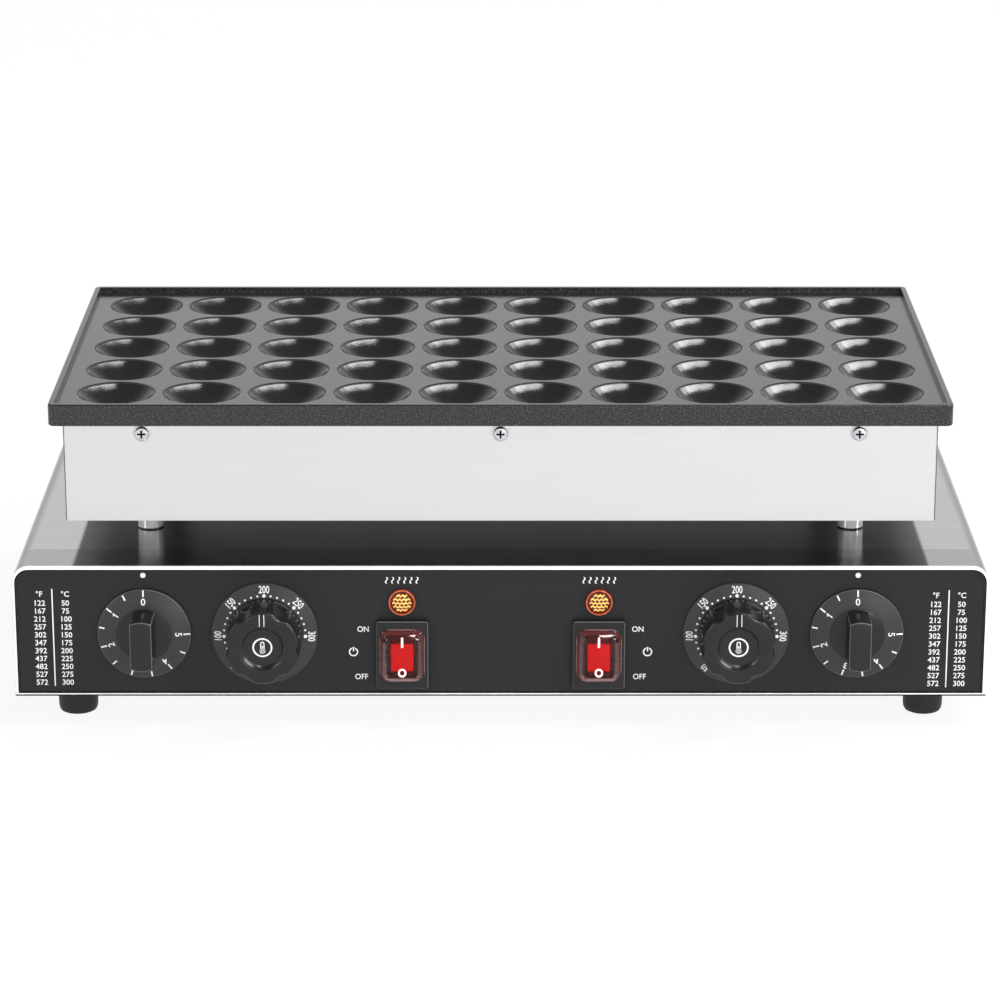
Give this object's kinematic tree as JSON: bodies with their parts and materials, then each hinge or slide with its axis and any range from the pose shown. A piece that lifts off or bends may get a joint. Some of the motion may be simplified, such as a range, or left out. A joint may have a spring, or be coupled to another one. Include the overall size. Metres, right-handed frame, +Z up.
{
  "type": "mini pancake maker",
  "caption": "Countertop mini pancake maker: dark cast plate of round pits on a steel heater box, raised on posts above a base with timers, thermostats, rocker switches and lamps.",
  "frame": {"origin": "middle of the part's box on the floor, under the feet", "axes": "+Z up, the control panel faces -Y, +X to the right of someone facing the panel"},
  "size_m": [0.56, 0.3696, 0.1872],
  "materials": {
    "coated_casting": "dark non-stick coating on a casting, fine speckle",
    "satin_steel": "satin stainless sheet",
    "post_steel": "turned steel",
    "fastener_steel": "zinc plated",
    "overlay_print": "matte black panel film",
    "knob_black": "satin moulded plastic",
    "switch_black": "moulded plastic",
    "cover_red": "clear tinted cover",
    "rocker_red": "lit red plastic",
    "lens_amber": "lit faceted amber plastic",
    "foot_rubber": "moulded rubber",
    "gland_black": "moulded nylon",
    "control_metal": "plated steel",
    "lamp_black": "moulded plastic",
    "block_cream": "moulded plastic",
    "brass_screw": "bare brass",
    "tube_copper": "drawn copper tube",
    "element_steel": "heat-stained sheath",
    "mat_fibre": "mineral fibre mat",
    "reflector_alu": "bright aluminium sheet"
  },
  "bodies": {
    "frame": {"baking_plate": "coated_casting", "heater_housing": "satin_steel", "base_shell": "satin_steel", "front_panel": "satin_steel", "back_panel": "satin_steel", "bottom_plate": "satin_steel", "post_front_left": "post_steel", "post_front_right": "post_steel", "post_back_left": "post_steel", "post_back_right": "post_steel", "plate_screws": "fastener_steel", "plate_washers": "fastener_steel", "clamp_screws": "fastener_steel", "bottom_screws": "fastener_steel", "foot_bolts": "fastener_steel", "foot_nuts": "fastener_steel", "post_nuts": "fastener_steel", "control_nuts": "fastener_steel", "element_clamps": "fastener_steel", "panel_overlay": "overlay_print", "thermostat_bezel_left": "knob_black", "thermostat_bezel_right": "knob_black", "switch_frame_left": "switch_black", "switch_frame_right": "switch_black", "switch_cover_left": "cover_red", "switch_cover_right": "cover_red", "lamp_lens_left": "lens_amber", "lamp_lens_right": "lens_amber", "foot_front_left": "foot_rubber", "foot_front_right": "foot_rubber", "foot_back_left": "foot_rubber", "foot_back_right": "foot_rubber", "cable_gland": "gland_black", "gland_nut": "gland_black", "timer_body_left": "control_metal", "timer_body_right": "control_metal", "thermostat_body_left": "control_metal", "thermostat_body_right": "control_metal", "lamp_body_left": "lamp_black", "lamp_body_right": "lamp_black", "terminal_block": "block_cream", "terminal_screws": "brass_screw", "earth_stud": "brass_screw", "capillary_left": "tube_copper", "capillary_right": "tube_copper", "heating_element_left": "element_steel", "heating_element_right": "element_steel", "insulation_mat": "mat_fibre", "reflector_sheet": "reflector_alu"},
    "timer_left": {"timer_knob_left": "knob_black", "timer_shaft_left": "control_metal"},
    "timer_right": {"timer_knob_right": "knob_black", "timer_shaft_right": "control_metal"},
    "thermostat_left": {"thermostat_knob_left": "knob_black", "thermostat_shaft_left": "control_metal"},
    "thermostat_right": {"thermostat_knob_right": "knob_black", "thermostat_shaft_right": "control_metal"},
    "rocker_left": {"rocker_left": "rocker_red"},
    "rocker_right": {"rocker_right": "rocker_red"}
  },
  "joints": [
    {"name": "timer_turn_left", "type": "hinge", "parent": "frame", "child": "timer_left", "pos_m": [-0.2045, -0.15925, 0.058], "axis": [0, 1, 0], "range_deg": [0, 270]},
    {"name": "thermostat_turn_left", "type": "hinge", "parent": "frame", "child": "thermostat_left", "pos_m": [-0.1353, -0.15925, 0.058], "axis": [0, 1, 0], "range_deg": [-180, 93]},
    {"name": "rocker_tilt_left", "type": "hinge", "parent": "frame", "child": "rocker_left", "pos_m": [-0.0565, -0.15945, 0.0455], "axis": [1, 0, 0], "range_deg": [0, 20]},
    {"name": "timer_turn_right", "type": "hinge", "parent": "frame", "child": "timer_right", "pos_m": [0.2045, -0.15925, 0.058], "axis": [0, 1, 0], "range_deg": [0, 270]},
    {"name": "thermostat_turn_right", "type": "hinge", "parent": "frame", "child": "thermostat_right", "pos_m": [0.1353, -0.15925, 0.058], "axis": [0, 1, 0], "range_deg": [-180, 93]},
    {"name": "rocker_tilt_right", "type": "hinge", "parent": "frame", "child": "rocker_right", "pos_m": [0.0565, -0.15945, 0.0455], "axis": [1, 0, 0], "range_deg": [0, 20]}
  ]
}
